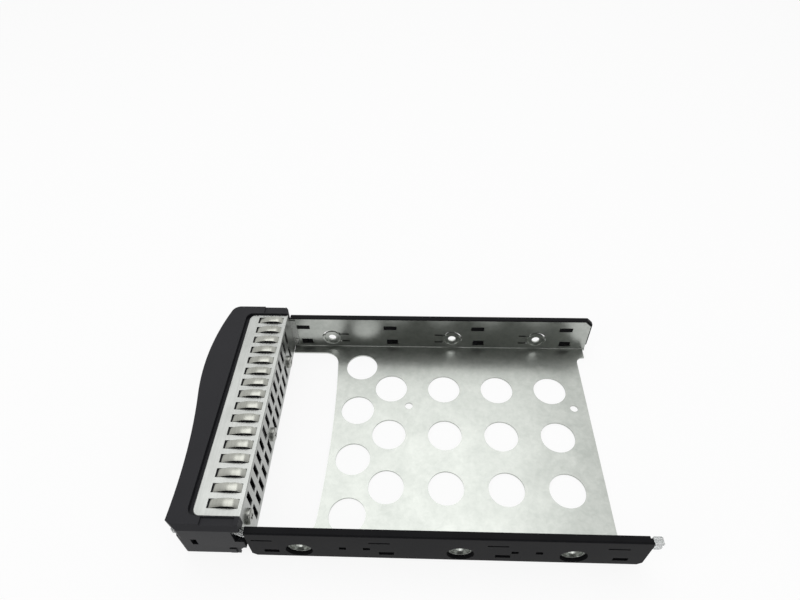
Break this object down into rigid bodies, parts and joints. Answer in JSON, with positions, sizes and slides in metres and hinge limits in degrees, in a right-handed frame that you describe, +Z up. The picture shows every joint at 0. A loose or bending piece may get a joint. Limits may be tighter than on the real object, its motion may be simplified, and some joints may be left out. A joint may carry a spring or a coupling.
{
  "type": "hot swap drive caddy",
  "caption": "Sheet metal drive tray on moulded runners, with a vented bezel, a sprung earthing shield, a swinging lever and a release button.",
  "frame": {"origin": "middle of the footprint, on the plane that the base sheet lies on", "axes": "+X from the bezel to the rear of the tray, +Y to the runner without light pipes, +Z up"},
  "size_m": [0.1824, 0.1084, 0.026],
  "materials": {
    "galvanised_sheet": "galvanised",
    "shield_steel": "tin plated",
    "spring_steel": "satin",
    "screw_steel": "zinc plated",
    "bezel_plastic": "fine moulded texture",
    "runner_plastic": "moulded, satin",
    "button_plastic": "moulded, satin",
    "clear_acrylic": "frosted ends"
  },
  "bodies": {
    "carrier": {"tray": "galvanised_sheet", "near_rail": "runner_plastic", "far_rail": "runner_plastic", "light_pipe_lower": "clear_acrylic", "light_pipe_upper": "clear_acrylic", "emi_shield": "shield_steel", "finger_strip": "spring_steel", "bezel_housing": "bezel_plastic", "vent_screen": "spring_steel", "pivot_pin": "screw_steel", "lever_spring": "screw_steel", "latch_spring": "screw_steel", "shield_screw_near": "screw_steel", "shield_screw_mid": "screw_steel", "shield_screw_far": "screw_steel", "tab_rivet_near": "screw_steel", "tab_rivet_far": "screw_steel"},
    "lever": {"lever": "bezel_plastic"},
    "latch_button": {"latch_button": "button_plastic"}
  },
  "joints": [
    {"name": "lever_swing", "type": "hinge", "parent": "carrier", "child": "lever", "pos_m": [-0.0656, -0.0486, 0.004], "axis": [0, 0, 1], "range_deg": [0, 55]},
    {"name": "latch_slide", "type": "slide", "parent": "carrier", "child": "latch_button", "axis": [0, 1, 0], "range_m": [0, 0.0025], "stiffness_N_per_m": 400, "springref_m": -0.003, "deforming": ["latch_spring"]}
  ]
}
